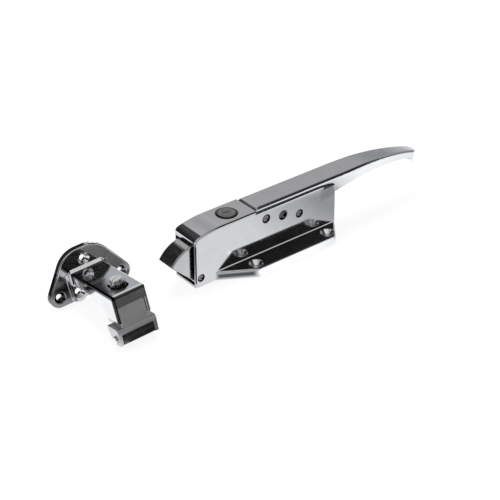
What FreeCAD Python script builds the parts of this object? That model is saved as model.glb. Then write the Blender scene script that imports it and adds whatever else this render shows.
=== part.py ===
import FreeCAD, Part
import math
import os

from FreeCAD import Vector

# Spring latch for a cold-room door, with the roller strike that it closes on.
# Millimetres. +X runs along the latch to the tip of the handle, +Z away from the door.
# The origin is the middle of the four screw holes, on the back face of the flange.
# The latch is drawn from its front end, where the bolt comes out, and then moved to the origin.

# Latch housing, a hollow casting open to the door
housing_length = 177.0
housing_width = 33.0
side_wall = 2.0
cover_top = 58.0
cover_wall = 2.6
cover_nose_top = 53.4
cover_slope_run = 20.0
cover_slope_radius = 122.0
cover_nose_radius = 5.8
cover_gap = 1.0
split_round = 0.5
wall_top = 55.6
wall_fall_run = 27.0
wall_rear_top = 52.6
wall_corner_radius = 2.5
wall_fall_share = 0.8
outer_round = 1.7
front_wall = 2.4
rear_wall = 2.4
rear_wall_top = 42.0
bolt_lip = 46.3
web_height = 2.4
web_depth = 4.0
web_start = 0.4
spring_rib_depth = 3.0
spring_rib_height = 2.7

# Screw flange on both sides of the housing
flange_half_width = 37.9
flange_height = 9.2
flange_front = 23.3
flange_front_shoulder = 60.2
flange_rear_step = 0.5
flange_rear_run = 17.1
flange_plate = 3.2
flange_skirt = 2.4
flange_corner_radius = 4.0
flange_edge_round = 1.6
flange_edge_margin = 0.5
flange_root_round = 1.0
hole_spacing_x = 92.0
hole_spacing_y = 57.0
hole_front = 64.4
hole_radius = 3.1
sink_radius = 7.2
sink_depth = 4.1
sink_rim_round = 0.8
boss_radius = 9.2

# Lever handle
pivot_x = 86.8
pivot_z = 45.7
pivot_pin_radius = 4.3
handle_top = 59.3
handle_clearance = 0.35
handle_wall = 2.3
nose_radius = 15.6
grip_start = 185.0
curve_start = 205.0
handle_end = 299.0
tip_top = 45.3
tip_half_width = 8.2
grip_taper = 2.0
lip_bottom = 32.4
lip_depth = 5.0
lip_rise = 5.4
lip_slant = 1.5
lip_draft = 1.0
crest_pull = 9.2
underside_rear = 43.0
underside_bow = 6.9
underside_start = 2.0
skirt_bottom = 34.6
skirt_rear = 117.0
skirt_slant = 5.0
stop_room = 12.0
handle_edge_round = 3.0
crest_first_pull = 0.38
crest_second_pull = 0.73
edge_side_share = 0.8
grip_rib_shares = (0.22, 0.5)
grip_rib_wall = 2.0
grip_rib_rise = 0.6
handle_swing = 20.0

# Through holes in the side walls
stop_x = 129.2
stop_z = 36.0
stop_radius = 4.0
eye_x = 108.0
eye_z = 42.0
eye_radius = 4.75
eye_gap = 0.4
pin_recess = 0.9
pin_slot_width = 1.3
pin_slot_depth = 1.2
pin_slot_turn = 35.0
running_gap = 0.08
wall_hole_gap = 0.04
rest_gap = 0.3

# Bolt, a hollow quarter wheel that turns in the front of the housing
bolt_x = 6.5
bolt_z = 9.6
bolt_pin_radius = 3.7
bolt_radius = 36.0
bolt_half_width = 11.0
bolt_cheek = 2.6
bolt_rim = 3.0
bolt_rim_start_turn = 8.0
bolt_floor_run = 50.0
bolt_floor_depth = 20.0
bolt_tip_angle = 147.0
bolt_rim_end_angle = 64.0
bolt_back_angle = 46.0
bolt_hub_radius = 6.2
bolt_edge_round = 1.6
bolt_tip_round = 0.8
bolt_floor_length = 24.0
drive_radius = 27.0
drive_angle = 47.0
drive_pin_radius = 3.0
drive_pin_end_gap = 0.2
drive_pin_chamfer = 0.4
drive_hub_radius = 5.2
bolt_swing = 48.0

# Forward prongs of the handle, which press on the drive pin
prong_inner = 11.6
prong_height = 8.5
prong_start = 4.0
prong_tip_round = 1.5
prong_nose_round = 3.5
prong_reach = 4.5
prong_gap = 0.49

# Spacers and spring on the bolt pin
spacer_radius = 6.0
spacer_gap = 0.12
spring_wire_radius = 0.7
spring_radius = 5.6
spring_pitch = 1.75
spring_turns = 6
spring_bend_extra = 0.12
spring_leg_gap = 0.1
spring_leg_reach = 22.0
spring_leg_thinner = 0.02

# Key lock in the cover
lock_x = 50.5
lock_face_radius = 10.0
lock_face_height = 1.0
lock_body_radius = 8.0
lock_length = 25.0
lock_face_round = 0.6
lock_ring_gap = 0.5
lock_ring_depth = 0.5
lock_hole_gap = 0.15
# How far two solids of one piece run into each other
join_overlap = 0.1
plug_radius = 6.0
keyway_width = 1.5
keyway_length = 7.6
keyway_depth = 9.0
keyway_step = 0.9
keyway_overlap = 0.6
keyway_turn = -38.0
lock_nut_flats = 19.0
lock_nut_height = 4.0
cam_thickness = 2.0
cam_reach = 9.0
cam_half_width = 5.0
cam_tongue_share = 0.7
cam_tip_round = 1.5
cam_gap = 0.3
cam_screw_radius = 2.0
cam_screw_head_radius = 3.8
cam_screw_head_height = 2.2
cam_screw_slot_half = 0.6
cam_screw_slot_depth = 0.9
cam_screw_length = 10.0
lock_turn = 90.0

# Strike, drawn square with its plate upright and its arm along -Y
plate_thickness = 7.0
plate_top = 10.8
plate_top_half = 17.8
plate_top_radius = 26.0
plate_side_half = 52.2
plate_bottom = -39.0
plate_lobe_radius = 9.9
inner_lobe_bottom = -41.3
inner_lobe_x = 13.3
inner_lobe_z = -31.3
inner_lobe_radius = 10.0
plate_notch_top = -31.0
plate_notch_half = 3.6
plate_notch_round_share = 0.95
plate_edge_round = 1.4
plate_hole_radius = 3.0
plate_sink_radius = 6.0
plate_sink_depth = 3.2
top_hole_z = -1.2
outer_hole_x = 33.0
outer_hole_z = -29.0
plate_rib_half = 1.2
plate_rib_height = 0.9
plate_rib_foot_gap = 4.5
arm_root_half = 17.4
# The ribs stand clear of the rounding at the arm's root
plate_rib_gap = 3.9
plate_rib_x = arm_root_half + plate_rib_gap
arm_end_half = 17.0
arm_top = -9.7
arm_end = 94.0
arm_wall = 2.8
arm_top_wall = 3.0
arm_root_bottom = -22.0
arm_haunch = 38.0
arm_heel = 70.0
arm_bottom = -37.4
arm_end_bottom = -21.6
arm_edge_round = 2.0
arm_root_round = 2.4
arm_foot_round = 1.5
arm_haunch_round = 12.0
least_upright_edge = 5.0
cup_half_width = 8.3
cup_length = 24.0
cup_middle = 73.7
cup_depth = 5.0
cup_rim = 1.5
cup_round_share = 0.98
cup_floor = 2.5

# Slider with its roller clevis, inside the end of the arm
slider_gap = 0.4
slider_front_gap = 0.3
slider_panel = 3.2
slider_panel_top = -18.4
slider_block_top = -22.9
slider_back = 63.0
slider_top_wall = 4.5
slider_side_wall = 3.0
slider_boss_radius = 6.0
slider_boss_bottom = -38.0
clevis_foot_round = 1.5
clevis_back_slant = 4.5
clevis_back_round = 5.0
clevis_shoulder_round = 1.0
clevis_half_width = 20.0
clevis_ear = 3.5
clevis_top = -42.6
clevis_bar_bottom = -48.0
clevis_back = 72.0
clevis_front = 93.0
clevis_front_slant = 1.5
clevis_bottom = -59.6
clevis_round = 3.0
roller_y = 85.2
roller_z = -53.6
roller_radius = 7.4
roller_gap = 0.5
roller_round = 0.8
roller_pin_radius = 2.5
roller_pin_head_radius = 3.6
roller_pin_head = 2.2
roller_pin_head_round = 0.8
roller_pin_end = 1.2
roller_pin_end_radius = 3.0
slide_up = 5.0
slide_down = 4.0
screw_pitch = 1.0

# Adjusting screw of the strike
screw_y = 72.6
screw_radius = 3.0
screw_hole_gap = 0.3
screw_head_radius = 5.4
screw_head_height = 3.0
screw_head_round = 0.9
screw_slot_turn = 25.0
screw_slot_width = 1.6
screw_slot_depth = 1.4
screw_tip = -40.0
flat_washer_radius = 7.6
flat_washer_height = 1.5
spacer_nut_flats = 13.0
spacer_nut_turn = 20.0
spacer_nut_cone_out = 0.2
spacer_nut_cone_in = 0.9
spacer_nut_cone_height = 1.1
spacer_nut_height = 6.5
tooth_washer_radius = 7.9
tooth_washer_height = 1.4
tooth_count = 12
tooth_depth = 1.2
tooth_notch_out = 0.2

# Edges longer than this are the long ones that some pieces have rounded
least_long_edge = 15.0

# Where the strike stands beside the latch, resting on its plate and its roller
strike_x = -198.6
strike_y = 46.7
strike_yaw = -4.8
strike_roll = -6.0
floor_gap = 0.2

# Worked out from the sizes above
front = -(hole_front + hole_spacing_x / 2)
half_width = housing_width / 2
inner_half = half_width - side_wall
handle_half = inner_half - handle_clearance
relief_radius = nose_radius + cover_gap
relief_front_share = 0.6
flange_rear = housing_length - flange_rear_step
flange_rear_shoulder = flange_rear - flange_rear_run
swing_ratio = bolt_swing / handle_swing
big = 400.0


def point_xz(a, b):
    return Vector(a, 0, b)


def point_xy(a, b):
    return Vector(a, b, 0)


def point_yz(a, b):
    return Vector(0, a, b)


def block(x0, x1, y0, y1, z0, z1):
    return Part.makeBox(x1 - x0, y1 - y0, z1 - z0, Vector(x0, y0, z0))


def rod_x(y, z, radius, x0, x1):
    return Part.makeCylinder(radius, x1 - x0, Vector(x0, y, z), Vector(1, 0, 0))


def rod_y(x, z, radius, y0, y1):
    return Part.makeCylinder(radius, y1 - y0, Vector(x, y0, z), Vector(0, 1, 0))


def rod_z(x, y, radius, z0, z1):
    return Part.makeCylinder(radius, z1 - z0, Vector(x, y, z0))


# A closed outline through corners given as (a, b, radius), each rounded by its radius
def rounded_wire(corners, point):
    count = len(corners)
    starts = []
    middles = []
    ends = []
    for index, (a, b, radius) in enumerate(corners):
        corner = point(a, b)
        before = point(*corners[index - 1][:2]) - corner
        after = point(*corners[(index + 1) % count][:2]) - corner
        before.normalize()
        after.normalize()
        if radius == 0:
            starts.append(corner)
            middles.append(None)
            ends.append(corner)
            continue
        half = before.getAngle(after) / 2
        inward = before + after
        inward.normalize()
        starts.append(corner + before * (radius / math.tan(half)))
        middles.append(corner + inward * (radius / math.sin(half) - radius))
        ends.append(corner + after * (radius / math.tan(half)))
    edges = []
    for index in range(count):
        if middles[index] is not None:
            edges.append(Part.Arc(starts[index], middles[index], ends[index]).toShape())
        following = starts[(index + 1) % count]
        if (following - ends[index]).Length > 0.001:
            edges.append(Part.makeLine(ends[index], following))
    return Part.Wire(edges)


def side_plate(corners, y0, y1):
    face = Part.Face(rounded_wire(corners, point_xz))
    face.translate(Vector(0, y0, 0))
    return face.extrude(Vector(0, y1 - y0, 0))


def flat_plate(corners, z0, z1):
    face = Part.Face(rounded_wire(corners, point_xy))
    face.translate(Vector(0, 0, z0))
    return face.extrude(Vector(0, 0, z1 - z0))


def cross_plate(corners, x0, x1):
    face = Part.Face(rounded_wire(corners, point_yz))
    face.translate(Vector(x0, 0, 0))
    return face.extrude(Vector(x1 - x0, 0, 0))


# Mirror image across the middle plane y = 0
def mirrored_y(shape):
    return shape.mirror(Vector(0, 0, 0), Vector(0, 1, 0))


def joined(shapes):
    result = shapes[0]
    for shape in shapes[1:]:
        result = result.fuse(shape)
    return result.removeSplitter()


def without(shape, cutters):
    for cutter in cutters:
        shape = shape.cut(cutter)
    return shape.removeSplitter()


def round_edges(shape, radius, chosen):
    edges = [edge for edge in shape.Edges if chosen(edge)]
    return shape.makeFillet(radius, edges)


def middle(edge):
    return edge.valueAt((edge.FirstParameter + edge.LastParameter) / 2)


# Countersunk screw hole along Z, from above
def countersink(x, y, z_top, hole, sink, depth):
    shank = rod_z(x, y, hole, z_top - big, z_top + 1)
    cone = Part.makeCone(hole, sink, depth, Vector(x, y, z_top - depth))
    rim = rod_z(x, y, sink, z_top, z_top + 1)
    return shank.fuse(cone).fuse(rim)


# Flat link between two round hubs, as a plate along Y
def link(x0, z0, r0, x1, z1, r1, y0, y1):
    length = math.hypot(x1 - x0, z1 - z0)
    heading = math.atan2(z1 - z0, x1 - x0)
    spread = math.acos((r0 - r1) / length)
    corners = []
    for sign, order in ((1, (0, 1)), (-1, (1, 0))):
        angle = heading + sign * spread
        pair = [(x0, z0, r0), (x1, z1, r1)]
        for which in order:
            x, z, r = pair[which]
            corners.append((x + r * math.cos(angle), z + r * math.sin(angle), 0))
    bar = side_plate(corners, y0, y1)
    return joined([bar, rod_y(x0, z0, r0, y0, y1), rod_y(x1, z1, r1, y0, y1)])


# Side outline of the housing block; inset draws the cavity under the cover
def cover_outline(inset):
    left = inset
    wall = cover_wall if inset else 0
    top = cover_top - wall
    nose = cover_nose_top - wall
    right = pivot_x
    bottom = -big if inset else 0
    return [(left, bottom, 0), (left, nose, cover_nose_radius - wall),
            (cover_slope_run, top, cover_slope_radius - wall), (right, top, 0), (right, bottom, 0)]


def wall_outline():
    fall = wall_top - wall_rear_top
    run = wall_fall_run
    radius = wall_fall_share * (run / 2) / math.tan(math.atan2(fall, run / 2) / 2)
    return [(cover_slope_run, 0, 0), (cover_slope_run, wall_top, 0),
            (housing_length - run / 2, wall_top, radius),
            (housing_length, wall_rear_top, wall_corner_radius), (housing_length, 0, 0)]


# Plan outline of one side of the flange; inset draws the hollow under it
def flange_outline(inset):
    rise = flange_half_width - half_width
    front_slope = math.atan2(rise, flange_front_shoulder - flange_front)
    rear_slope = math.atan2(rise, flange_rear - flange_rear_shoulder)
    outer = flange_half_width - inset
    radius = max(flange_corner_radius - inset, 1.0)
    # The slanted sides, moved inward by the inset, as X at a given Y
    front_line = flange_front + inset / math.sin(front_slope) - half_width / math.tan(front_slope)
    rear_line = flange_rear - inset / math.sin(rear_slope) + half_width / math.tan(rear_slope)
    if inset:
        near = half_width + inset
        return [(front_line + near / math.tan(front_slope), near, 0),
                (front_line + outer / math.tan(front_slope), outer, radius),
                (rear_line - outer / math.tan(rear_slope), outer, radius),
                (rear_line - near / math.tan(rear_slope), near, 0)]
    near = inner_half + side_wall / 2
    return [(flange_front, near, 0), (flange_front, half_width, 0), (flange_front_shoulder, outer, radius),
            (flange_rear_shoulder, outer, radius), (flange_rear, half_width, 0), (flange_rear, near, 0)]


def screw_places():
    places = []
    for x in (hole_front, hole_front + hole_spacing_x):
        for y in (-hole_spacing_y / 2, hole_spacing_y / 2):
            places.append((x, y))
    return places


# One side of the flange, with its edge rounded and its underside cored out
def flange_side():
    flange = flat_plate(flange_outline(0), 0, flange_height)
    outside = half_width + flange_edge_margin

    def top_edge(edge):
        mid = middle(edge)
        return abs(mid.z - flange_height) < 0.01 and mid.y > outside

    flange = round_edges(flange, flange_edge_round, top_edge)
    core = flat_plate(flange_outline(flange_skirt), -1, flange_height - flange_plate)
    for x, y in screw_places():
        if y > 0:
            core = core.cut(rod_z(x, y, boss_radius, -1, flange_height))
    return flange.cut(core)


def wall_hole(x, z, radius):
    return rod_y(x, z, radius, -half_width - 1, half_width + 1)


def latch_housing():
    shell = side_plate(cover_outline(0), -half_width, half_width)
    walls = side_plate(wall_outline(), -half_width, half_width)
    shell = round_edges(shell, outer_round, is_cover_edge)
    walls = round_edges(walls, outer_round, is_wall_edge)
    shell = shell.cut(rod_y(pivot_x, pivot_z, relief_radius, -big, big))
    relief_front = pivot_x - relief_radius * relief_front_share
    shell = shell.cut(block(relief_front, pivot_x + 1, -big, big, wall_top, big))
    split_x = pivot_x - math.sqrt(relief_radius ** 2 - (cover_top - pivot_z) ** 2)
    shell = round_edges(shell, split_round, lambda edge: abs(edge.BoundBox.Center.x - split_x) < 0.01
                        and abs(edge.BoundBox.Center.z - cover_top) < 0.01)
    shell = joined([shell, walls])
    side = flange_side()
    shell = joined([shell, side, mirrored_y(side)])

    def root_edge(edge):
        mid = middle(edge)
        flat = abs(mid.z - flange_height) < 0.01 and edge.BoundBox.ZLength < 0.01
        return flat and abs(abs(mid.y) - half_width) < 0.01 and edge.Length > least_long_edge

    shell = round_edges(shell, flange_root_round, root_edge)
    cavity = side_plate(cover_outline(front_wall), -inner_half, inner_half)
    rear = block(pivot_x - 1, housing_length - rear_wall, -inner_half, inner_half, -big, big)
    over_rear = block(pivot_x, housing_length + 1, -inner_half, inner_half, rear_wall_top, big)
    relief = rod_y(pivot_x, pivot_z, relief_radius, -inner_half, inner_half)
    mouth = block(-1, front_wall + 1, -inner_half, inner_half, web_height, bolt_lip)
    cutters = [cavity, rear, over_rear, relief, mouth]
    cutters.append(rod_z(lock_x, 0, lock_body_radius + lock_hole_gap, 0, big))
    for x, z, radius in ((pivot_x, pivot_z, pivot_pin_radius), (stop_x, stop_z, stop_radius),
                         (bolt_x, bolt_z, bolt_pin_radius)):
        cutters.append(wall_hole(x, z, radius + wall_hole_gap))
    cutters.append(wall_hole(eye_x, eye_z, eye_radius))
    for x, y in screw_places():
        cutters.append(countersink(x, y, flange_height, hole_radius, sink_radius, sink_depth))
    shell = without(shell, cutters)

    def sink_rim(edge):
        on_top = abs(middle(edge).z - flange_height) < 0.01
        return on_top and hasattr(edge.Curve, "Radius") and abs(edge.Curve.Radius - sink_radius) < 0.01

    shell = round_edges(shell, sink_rim_round, sink_rim)
    web = block(web_start, web_depth, -inner_half - 1, inner_half + 1, 0, web_height)
    rib_x = bolt_x + spring_leg_reach - spring_rib_depth
    rib = block(rib_x, rib_x + spring_rib_depth, -inner_half - 1, inner_half + 1, 0, spring_rib_height)
    return joined([shell, web, rib])


# Long outside edges of the cover: along its top and down its front corners
def is_cover_edge(edge):
    mid = middle(edge)
    box = edge.BoundBox
    on_side = abs(abs(mid.y) - half_width) < 0.01 and box.YLength < 0.01
    return on_side and (mid.x < 0.01 or mid.z > cover_nose_top - cover_nose_radius)


def is_wall_edge(edge):
    mid = middle(edge)
    box = edge.BoundBox
    on_side = abs(abs(mid.y) - half_width) < 0.01 and box.YLength < 0.01
    return on_side and mid.x > cover_slope_run + 1 and mid.z > 1


# Half-width curve of the grip, seen from above
def grip_curve(inset):
    curve = Part.BezierCurve()
    run = handle_end - grip_start
    straight = handle_half - inset
    curve.setPoles([Vector(grip_start, straight, 0), Vector(grip_start + run * 0.33, straight, 0),
                    Vector(grip_start + run * 0.56, tip_half_width + grip_taper - inset, 0),
                    Vector(handle_end - tip_half_width * 0.7, tip_half_width - inset, 0)])
    return curve.toShape()


def handle_plan(inset):
    side = handle_half - inset
    start = pivot_x - nose_radius - 1
    upper = grip_curve(inset)
    lower = mirrored_y(upper)
    last = upper.Vertexes[-1].Point
    tip = Part.Arc(last, Vector(handle_end - inset, 0, 0), Vector(last.x, -last.y, 0)).toShape()
    edges = [Part.makeLine(Vector(start, -side, 0), Vector(start, side, 0)),
             Part.makeLine(Vector(start, side, 0), Vector(grip_start, side, 0)), upper, tip, lower,
             Part.makeLine(Vector(grip_start, -side, 0), Vector(start, -side, 0))]
    wire = Part.Wire(Part.__sortEdges__(edges))
    face = Part.Face(wire)
    face.translate(Vector(0, 0, -big / 2))
    return face.extrude(Vector(0, 0, big))


# Side outline of the handle; inset lowers the top and opens the bottom for the hollow inside
def handle_side(inset):
    top = handle_top - inset
    radius = nose_radius - inset
    tip = handle_end - inset
    tip_z = tip_top - inset
    run = handle_end - curve_start
    first = Vector(pivot_x - math.sqrt(radius ** 2 - (top - pivot_z) ** 2), 0, top)
    crest = Part.BezierCurve()
    crest.setPoles([Vector(curve_start, 0, top), Vector(curve_start + run * crest_first_pull, 0, top),
                    Vector(curve_start + run * crest_second_pull, 0, tip_z + crest_pull),
                    Vector(tip, 0, tip_z)])
    edges = [Part.makeLine(first, Vector(curve_start, 0, top)), crest.toShape()]
    if inset:
        floor_z = -big / 2
        edges.append(Part.makeLine(Vector(tip, 0, tip_z), Vector(tip, 0, floor_z)))
        edges.append(Part.makeLine(Vector(tip, 0, floor_z), Vector(pivot_x - radius, 0, floor_z)))
        nose_bottom = Vector(pivot_x - radius, 0, floor_z)
        nose_end = Vector(pivot_x - radius, 0, pivot_z)
    else:
        nose_run = math.sqrt(radius ** 2 - (pivot_z - skirt_bottom) ** 2)
        nose_end = Vector(pivot_x - nose_run, 0, skirt_bottom)
        under = Part.BezierCurve()
        under_run = handle_end - lip_depth - housing_length
        lip_end = Vector(handle_end - lip_depth - lip_slant, 0, tip_top - lip_rise)
        under.setPoles([lip_end, Vector(lip_end.x - under_run / 3, 0, underside_rear + underside_bow),
                        Vector(housing_length + under_run / 3, 0, underside_rear + underside_bow),
                        Vector(housing_length + underside_start, 0, underside_rear)])
        stop_top = stop_z + stop_radius + rest_gap
        path = [Vector(tip, 0, tip_z), Vector(tip - lip_draft, 0, lip_bottom),
                Vector(tip - lip_depth + lip_draft, 0, lip_bottom), lip_end]
        rear_path = [Vector(housing_length + underside_start, 0, underside_rear),
                     Vector(stop_x + stop_room, 0, stop_top), Vector(skirt_rear + skirt_slant, 0, stop_top),
                     Vector(skirt_rear, 0, skirt_bottom), nose_end]
        for points in (path, rear_path):
            for start, end in zip(points, points[1:]):
                edges.append(Part.makeLine(start, end))
        edges.append(under.toShape())
    if inset:
        edges.append(Part.makeLine(nose_bottom, nose_end))
    top_angle = math.atan2(first.z - pivot_z, first.x - pivot_x)
    end_angle = math.atan2(nose_end.z - pivot_z, nose_end.x - pivot_x)
    if end_angle < 0:
        end_angle += 2 * math.pi
    mid_angle = (top_angle + end_angle) / 2
    mid = Vector(pivot_x + radius * math.cos(mid_angle), 0, pivot_z + radius * math.sin(mid_angle))
    edges.append(Part.Arc(first, mid, nose_end).toShape())
    wire = Part.Wire(Part.__sortEdges__(edges))
    face = Part.Face(wire)
    face.translate(Vector(0, -big / 2, 0))
    return face.extrude(Vector(0, big, 0))


def drive_point(turned):
    angle = math.radians(drive_angle - turned)
    return bolt_x + drive_radius * math.cos(angle), bolt_z + drive_radius * math.sin(angle)


# Two prongs that run forward beside the lock and press down on the drive pin
def handle_prongs():
    x, z = drive_point(0)
    distance = math.hypot(x - pivot_x, z - pivot_z)
    pin_heading = math.atan2(z - pivot_z, x - pivot_x) + 2 * math.pi
    heading = pin_heading - math.asin((drive_pin_radius + prong_gap) / distance)
    along = Vector(math.cos(heading), 0, math.sin(heading))
    up = Vector(along.z, 0, -along.x)
    pivot = Vector(pivot_x, 0, pivot_z)
    near = pivot + along * prong_start
    far = pivot + along * (distance + prong_reach)
    corners = [(near.x, near.z, 0), (far.x, far.z, prong_tip_round),
               (far.x + up.x * prong_height, far.z + up.z * prong_height, prong_nose_round),
               (near.x + up.x * prong_height, near.z + up.z * prong_height, 0)]
    prong = side_plate(corners, prong_inner, handle_half)
    return joined([prong, side_plate(corners, -handle_half, -prong_inner)])


def handle():
    blank = handle_side(0).common(handle_plan(0))

    def crest_edge(edge):
        mid = middle(edge)
        near_side = abs(mid.y) > tip_half_width * edge_side_share and edge.BoundBox.XLength > least_long_edge
        upper = mid.z > (handle_top + underside_rear) / 2
        return near_side and upper

    blank = round_edges(blank, handle_edge_round, crest_edge)
    split_x = pivot_x - math.sqrt(nose_radius ** 2 - (handle_top - pivot_z) ** 2)
    blank = round_edges(blank, split_round, lambda edge: abs(edge.BoundBox.Center.x - split_x) < 0.01
                        and abs(edge.BoundBox.Center.z - handle_top) < 0.01)
    hollow = handle_side(handle_wall).common(handle_plan(handle_wall))
    body = blank.cut(hollow)
    ribs = []
    rib_bottom = underside_rear + underside_bow - grip_rib_rise
    for share in grip_rib_shares:
        x = housing_length + (handle_end - housing_length) * share
        ribs.append(block(x, x + grip_rib_wall, -handle_half, handle_half, rib_bottom, handle_top))
    ribs = [rib.common(blank) for rib in ribs]
    body = joined([body, handle_prongs()] + ribs)
    cutters = [wall_hole(pivot_x, pivot_z, pivot_pin_radius + running_gap),
               wall_hole(eye_x, eye_z, eye_radius + eye_gap)]
    return without(body, cutters)


# Cross pin through both side walls, slotted at its near end
def wall_pin(x, z, radius):
    near = -half_width + pin_recess
    pin = rod_y(x, z, radius, near, half_width - pin_recess)
    half = pin_slot_width / 2
    slot = block(x - big, x + big, near - 1, near + pin_slot_depth, z - half, z + half)
    slot.rotate(Vector(x, 0, z), Vector(0, 1, 0), pin_slot_turn)
    return pin.cut(slot)


def handle_pivot_screw():
    return wall_pin(pivot_x, pivot_z, pivot_pin_radius)


def stop_screw():
    return wall_pin(stop_x, stop_z, stop_radius)


def bolt_pivot_pin():
    return wall_pin(bolt_x, bolt_z, bolt_pin_radius)


def polar(radius, angle):
    turn = math.radians(angle)
    return bolt_x + radius * math.cos(turn), bolt_z + radius * math.sin(turn)


# Sector of a ring about the bolt pin, along Y
def ring_sector(inner, outer, start, end, y0, y1):
    mid = (start + end) / 2
    points = [Vector(polar(outer, a)[0], 0, polar(outer, a)[1]) for a in (start, mid, end)]
    edges = [Part.Arc(*points).toShape()]
    if inner > 0:
        back = [Vector(polar(inner, a)[0], 0, polar(inner, a)[1]) for a in (end, mid, start)]
        edges.append(Part.makeLine(points[2], back[0]))
        edges.append(Part.Arc(*back).toShape())
        edges.append(Part.makeLine(back[2], points[0]))
    else:
        hub = Vector(bolt_x, 0, bolt_z)
        edges.append(Part.makeLine(points[2], hub))
        edges.append(Part.makeLine(hub, points[0]))
    face = Part.Face(Part.Wire(edges))
    face.translate(Vector(0, y0, 0))
    return face.extrude(Vector(0, y1 - y0, 0))


# Unit vectors of the bolt's lower face: along it towards the tip, and square to it, inward
def bolt_floor_axes():
    lean = math.asin(bolt_hub_radius / bolt_radius)
    along_angle = math.radians(bolt_tip_angle) - lean
    along = Vector(math.cos(along_angle), 0, math.sin(along_angle))
    inward = Vector(along.z, 0, -along.x)
    return along, inward


def bolt():
    drive_x, drive_z = drive_point(0)
    tip_x, tip_z = polar(bolt_radius, bolt_tip_angle)
    along, inward = bolt_floor_axes()
    hub = Vector(bolt_x, 0, bolt_z)
    foot = hub - inward * bolt_hub_radius
    pie = ring_sector(0, bolt_radius, bolt_tip_angle, bolt_back_angle, -bolt_half_width, bolt_half_width)
    wedge_corners = [(foot.x, foot.z, 0), (tip_x, tip_z, 0), (bolt_x, bolt_z, 0)]
    wedge = side_plate(wedge_corners, -bolt_half_width, bolt_half_width)
    tail = link(bolt_x, bolt_z, bolt_hub_radius, drive_x, drive_z, drive_hub_radius,
                -bolt_half_width, bolt_half_width)
    blank = joined([pie, wedge, tail])

    def rim_edge(edge):
        mid = middle(edge)
        reach = math.hypot(mid.x - bolt_x, mid.z - bolt_z)
        on_side = abs(abs(mid.y) - bolt_half_width) < 0.01 and edge.BoundBox.YLength < 0.01
        return on_side and abs(reach - bolt_radius) < 0.01

    def tip_edge(edge):
        mid = middle(edge)
        return math.hypot(mid.x - tip_x, mid.z - tip_z) < 1.0 and abs(mid.y) < 1.0

    blank = round_edges(blank, bolt_edge_round, rim_edge)
    blank = round_edges(blank, bolt_tip_round, tip_edge)
    between = bolt_half_width - bolt_cheek
    room = block(-big, big, -between, between, -big, big)
    rim = ring_sector(bolt_radius - bolt_rim, bolt_radius + 1, bolt_tip_angle + bolt_rim_start_turn,
                      bolt_rim_end_angle, -between, between)
    inner_edge = foot + inward * bolt_rim
    floor_start = inner_edge + along * (bolt_radius - bolt_floor_length)
    floor_end = floor_start + along * bolt_floor_run
    down = inward * bolt_floor_depth
    places = (floor_start, floor_end, floor_end - down, floor_start - down)
    below = [(place.x, place.z, 0) for place in places]
    floor_wall = side_plate(below, -between, between)
    hollow = room.cut(rim).cut(floor_wall)
    cutters = [hollow, wall_hole(bolt_x, bolt_z, bolt_pin_radius + running_gap),
               wall_hole(drive_x, drive_z, drive_pin_radius)]
    return without(blank, cutters)


def bolt_drive_pin():
    x, z = drive_point(0)
    reach = handle_half - drive_pin_end_gap
    pin = rod_y(x, z, drive_pin_radius, -reach, reach)
    return pin.makeChamfer(drive_pin_chamfer, [edge for edge in pin.Edges if edge.BoundBox.YLength < 0.01])


def bolt_spacers():
    start = bolt_half_width + spacer_gap
    end = inner_half - spacer_gap
    ring = rod_y(bolt_x, bolt_z, spacer_radius, start, end)
    ring = ring.cut(rod_y(bolt_x, bolt_z, bolt_pin_radius + running_gap, start - 1, end + 1))
    return Part.makeCompound([ring, mirrored_y(ring)])


# Angle at which a straight leg to a point leaves the coil; side is 1 or -1
def leave_angle(x, z, side):
    distance = math.hypot(x - bolt_x, z - bolt_z)
    toward = math.atan2(z - bolt_z, x - bolt_x)
    return toward + side * math.acos(spring_radius / distance)


def spring_leg(x, z, angle, y):
    start = Vector(bolt_x + spring_radius * math.cos(angle), y, bolt_z + spring_radius * math.sin(angle))
    path = Vector(x, y, z) - start
    leg = Part.makeCylinder(spring_wire_radius - spring_leg_thinner, path.Length, start, path)
    return leg, Part.makeSphere(spring_wire_radius + spring_bend_extra, start)


# Torsion spring round the bolt pin: one leg on the rib of the housing, one on the bolt's floor
def bolt_spring():
    along, inward = bolt_floor_axes()
    hub = Vector(bolt_x, 0, bolt_z)
    seat = spring_wire_radius + spring_leg_gap
    inside = hub - inward * (bolt_hub_radius - bolt_rim - seat) + along * spring_leg_reach
    rib_x = bolt_x + spring_leg_reach - spring_rib_depth / 2
    fixed = leave_angle(rib_x, spring_rib_height + seat, -1)
    moving = leave_angle(inside.x, inside.z, -1)
    turned = (moving - fixed) % (2 * math.pi) / (2 * math.pi)
    height = (spring_turns + turned) * spring_pitch
    helix = Part.makeHelix(spring_pitch, height, spring_radius)
    profile = Part.Wire(Part.makeCircle(spring_wire_radius, Vector(spring_radius, 0, 0), Vector(0, 1, 0)))
    coil = Part.Wire(helix.Edges).makePipeShell([profile], True, True)
    # Stand the coil along Y: its height runs from far to near, its angle is counted in the X-Z plane
    coil.rotate(Vector(0, 0, 0), Vector(1, 0, 0), 90)
    coil.rotate(Vector(0, 0, 0), Vector(0, 1, 0), -math.degrees(fixed))
    coil.translate(Vector(bolt_x, height / 2, bolt_z))
    spring = coil
    for x, z, angle, y in ((rib_x, spring_rib_height + seat, fixed, height / 2),
                           (inside.x, inside.z, moving, -height / 2)):
        leg, bend = spring_leg(x, z, angle, y)
        spring = spring.fuse(bend).fuse(leg)
    return spring


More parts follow.
